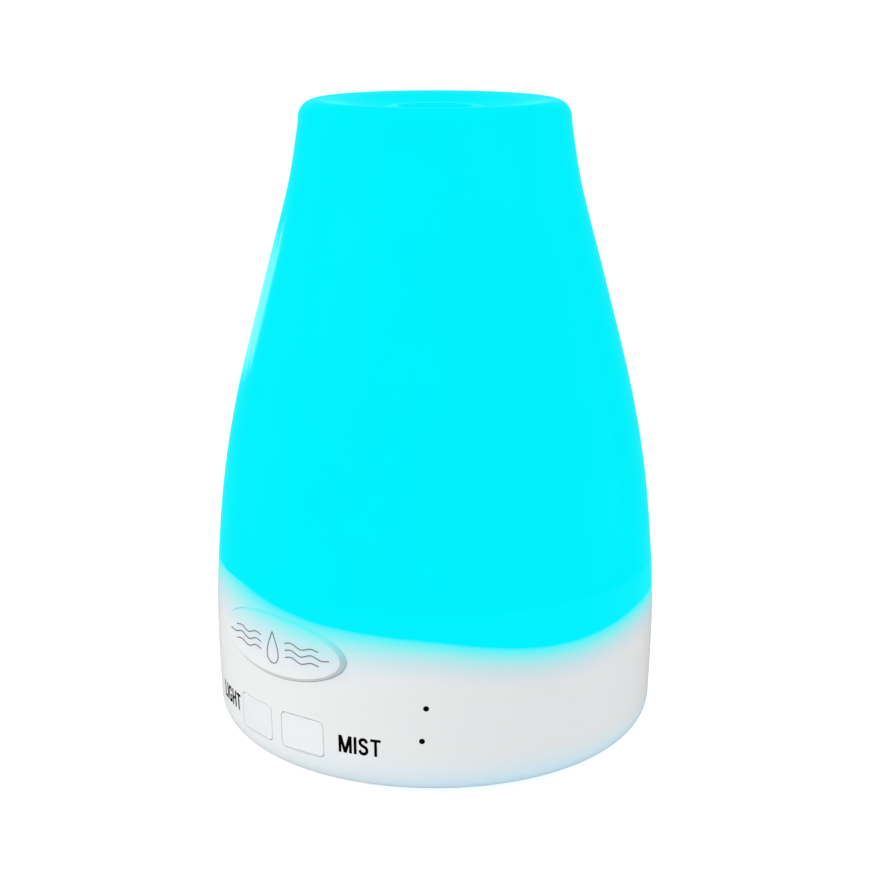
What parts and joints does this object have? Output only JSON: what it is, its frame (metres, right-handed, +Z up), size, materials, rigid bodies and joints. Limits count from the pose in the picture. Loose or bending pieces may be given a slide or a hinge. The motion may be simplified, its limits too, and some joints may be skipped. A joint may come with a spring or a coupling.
{
  "type": "essential oil diffuser",
  "caption": "Bottle-shaped ultrasonic aroma diffuser: translucent lit cover with a top mist outlet over a water tank, on a white base with two push buttons.",
  "frame": {"origin": "on the table, at the centre of the footprint", "axes": "+Z up; -Y is the front, where the two buttons and the badge are; +Y is the rear, with the power socket; +X is right, seen from the front"},
  "size_m": [0.095, 0.0957, 0.1357],
  "materials": {
    "cover_plastic": "translucent white, lit cyan from inside",
    "shell_plastic": "semi-gloss white",
    "badge_plastic": "gloss white with an engraved motif",
    "button_plastic": "gloss white",
    "tank_plastic": "frosted translucent",
    "silicone": "soft white silicone",
    "foot_rubber": "matte dark grey",
    "white_board": "white solder mask",
    "white_plastic": "moulded, matt",
    "green_board": "green solder mask",
    "lamp": "clear lamp, lit cyan",
    "smoked_plastic": "smoked black",
    "black_plastic": "black",
    "switch_plunger": "matt",
    "capacitor_sleeve": "shrink sleeve",
    "screw_steel": "zinc plated",
    "disc_metal": "electroded piezo disc",
    "pin_brass": "plated",
    "heat_sink_aluminium": "extruded",
    "coil": "enamelled winding on a ferrite core",
    "lead_red": "red sleeve",
    "lead_black": "black sleeve",
    "ribbon": "flat cable"
  },
  "bodies": {
    "base": {"base_shell": "shell_plastic", "bottom_cover": "shell_plastic", "front_badge": "badge_plastic", "water_tank": "tank_plastic", "air_duct": "tank_plastic", "tank_gasket": "silicone", "disc_seal": "silicone", "foot_1": "foot_rubber", "foot_2": "foot_rubber", "foot_3": "foot_rubber", "foot_4": "foot_rubber", "led_board": "white_board", "disc_retainer": "white_plastic", "fan_duct": "white_plastic", "driver_board": "green_board", "button_board": "green_board", "indicator_board": "green_board", "led_1": "lamp", "led_2": "lamp", "led_3": "lamp", "led_4": "lamp", "indicator_led_upper": "lamp", "indicator_led_lower": "lamp", "indicator_pipe_upper": "smoked_plastic", "indicator_pipe_lower": "smoked_plastic", "power_socket": "black_plastic", "controller_chip": "black_plastic", "drive_transistor": "black_plastic", "light_switch": "black_plastic", "mist_switch": "black_plastic", "fan_frame": "black_plastic", "capacitor_large": "capacitor_sleeve", "capacitor_small": "capacitor_sleeve", "bottom_screw_1": "screw_steel", "bottom_screw_2": "screw_steel", "bottom_screw_3": "screw_steel", "retainer_screw_1": "screw_steel", "retainer_screw_2": "screw_steel", "retainer_screw_3": "screw_steel", "led_screw_1": "screw_steel", "led_screw_2": "screw_steel", "driver_screw_1": "screw_steel", "driver_screw_2": "screw_steel", "fan_screw_1": "screw_steel", "fan_screw_2": "screw_steel", "ultrasonic_disc": "disc_metal", "power_socket_pin": "pin_brass", "heat_sink": "heat_sink_aluminium", "drive_inductor": "coil", "boost_inductor": "coil", "disc_lead_red": "lead_red", "disc_lead_black": "lead_black", "fan_lead": "lead_black", "button_ribbon": "ribbon"},
    "cover": {"upper_cover": "cover_plastic"},
    "light_button": {"light_button": "button_plastic"},
    "mist_button": {"mist_button": "button_plastic"},
    "light_plunger": {"light_switch_plunger": "switch_plunger"},
    "mist_plunger": {"mist_switch_plunger": "switch_plunger"},
    "impeller": {"fan_impeller": "black_plastic"}
  },
  "joints": [
    {"name": "cover_lift", "type": "slide", "parent": "base", "child": "cover", "axis": [0, 0, 1], "range_m": [0, 0.09]},
    {"name": "light_button_press", "type": "slide", "parent": "base", "child": "light_button", "axis": [0, 1, 0], "range_m": [0, 0.0006], "stiffness_N_per_m": 300},
    {"name": "mist_button_press", "type": "slide", "parent": "base", "child": "mist_button", "axis": [0, 1, 0], "range_m": [0, 0.0006], "stiffness_N_per_m": 300},
    {"name": "light_plunger_press", "type": "slide", "parent": "base", "child": "light_plunger", "axis": [0, 1, 0], "range_m": [0, 0.00034]},
    {"name": "mist_plunger_press", "type": "slide", "parent": "base", "child": "mist_plunger", "axis": [0, 1, 0], "range_m": [0, 0.00034]},
    {"name": "fan_spin", "type": "hinge", "parent": "base", "child": "impeller", "pos_m": [0.02, -0.004, 0.0107], "axis": [0, 0, 1], "continuous": true}
  ],
  "couplings": [
    {"joint": "light_plunger_press", "follows": "light_button_press", "ratio": 0.55},
    {"joint": "mist_plunger_press", "follows": "mist_button_press", "ratio": 0.55}
  ]
}
